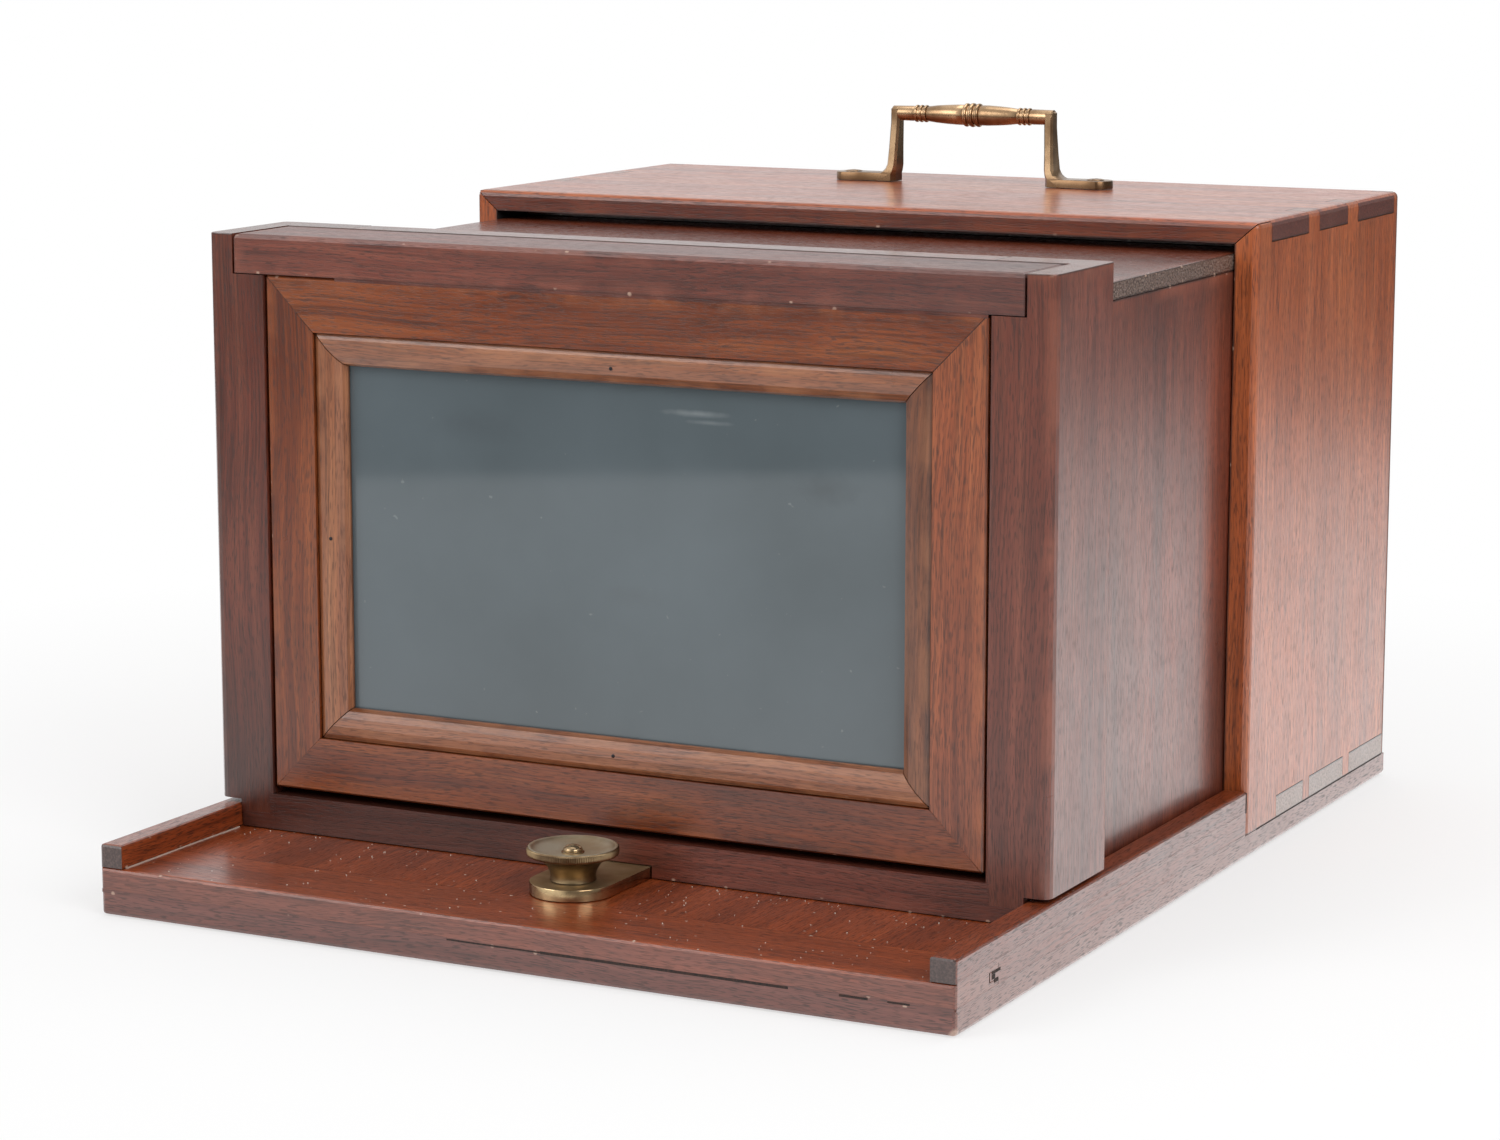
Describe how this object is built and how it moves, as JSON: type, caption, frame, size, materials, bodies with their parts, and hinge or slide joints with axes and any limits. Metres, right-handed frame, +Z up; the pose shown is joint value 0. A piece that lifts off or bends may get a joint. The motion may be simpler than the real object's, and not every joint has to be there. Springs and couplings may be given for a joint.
{
  "type": "sliding-box view camera",
  "caption": "Wooden sliding-box view camera: dovetailed fixed front box with brass lens, rear box sliding on a railed baseboard, lift-out ground-glass screen, focus clamp and carrying handle",
  "frame": {"origin": "middle of the baseboard's underside", "axes": "+Z up, +Y forward from the screen to the lens, +X to the right of somebody looking at the screen"},
  "size_m": [0.29, 0.4447, 0.2368],
  "materials": {
    "case_mahogany": "french-polished mahogany, worn",
    "back_mahogany": "dark french-polished mahogany",
    "screen_mahogany": "oiled mahogany",
    "bead_mahogany": "oiled mahogany, worn",
    "aged_brass": "aged lacquered brass",
    "blued_steel": "dull steel",
    "ground_glass": "finely ground",
    "crown_glass": "polished"
  },
  "bodies": {
    "camera_base": {"base_board": "case_mahogany", "deck_panel": "case_mahogany", "deck_end": "case_mahogany", "rail_left": "case_mahogany", "rail_right": "case_mahogany", "outer_top": "case_mahogany", "outer_floor": "case_mahogany", "outer_side_left": "case_mahogany", "outer_side_right": "case_mahogany", "outer_front": "case_mahogany", "lens_board": "case_mahogany", "lens_flange": "aged_brass", "lens_barrel": "aged_brass", "lens_glass": "crown_glass", "lens_ring": "aged_brass", "lens_hood": "aged_brass", "lens_stop": "blued_steel", "handle": "aged_brass", "tripod_bush": "aged_brass"},
    "inner_box": {"inner_top": "back_mahogany", "inner_side_left": "back_mahogany", "inner_side_right": "back_mahogany", "inner_floor": "back_mahogany", "light_trap": "back_mahogany", "back_stile_left": "back_mahogany", "back_stile_right": "back_mahogany", "back_bottom_rail": "back_mahogany", "back_top_rail": "back_mahogany", "tongue_plate": "aged_brass"},
    "clamp_knob": {"clamp_knob": "aged_brass", "clamp_stud": "blued_steel", "knob_screw": "blued_steel"},
    "clamp_nut": {"clamp_nut": "aged_brass"},
    "focusing_screen": {"head_bar": "back_mahogany", "screen_left": "screen_mahogany", "screen_right": "screen_mahogany", "screen_top": "screen_mahogany", "screen_bottom": "screen_mahogany", "bead_left": "bead_mahogany", "bead_right": "bead_mahogany", "bead_top": "bead_mahogany", "bead_bottom": "bead_mahogany", "ground_glass": "ground_glass", "screen_tongue_left": "screen_mahogany", "screen_tongue_right": "screen_mahogany"},
    "lens_cap": {"lens_cap": "aged_brass"}
  },
  "joints": [
    {"name": "focus_slide", "type": "slide", "parent": "camera_base", "child": "inner_box", "axis": [0, 1, 0], "range_m": [0, 0.1]},
    {"name": "clamp_turn", "type": "hinge", "parent": "inner_box", "child": "clamp_knob", "pos_m": [0, -0.1445, 0.02], "axis": [0, 0, 1], "range_deg": [0, 270]},
    {"name": "nut_drop", "type": "slide", "parent": "inner_box", "child": "clamp_nut", "axis": [0, 0, -1], "range_m": [0, 0.00096]},
    {"name": "screen_lift", "type": "slide", "parent": "inner_box", "child": "focusing_screen", "axis": [0, 0, 1], "range_m": [0, 0.185]},
    {"name": "cap_pull", "type": "slide", "parent": "camera_base", "child": "lens_cap", "axis": [0, 1, 0], "range_m": [0, 0.04]}
  ],
  "couplings": [
    {"joint": "nut_drop", "follows": "clamp_turn", "m_per_rad": 0.00020213}
  ]
}
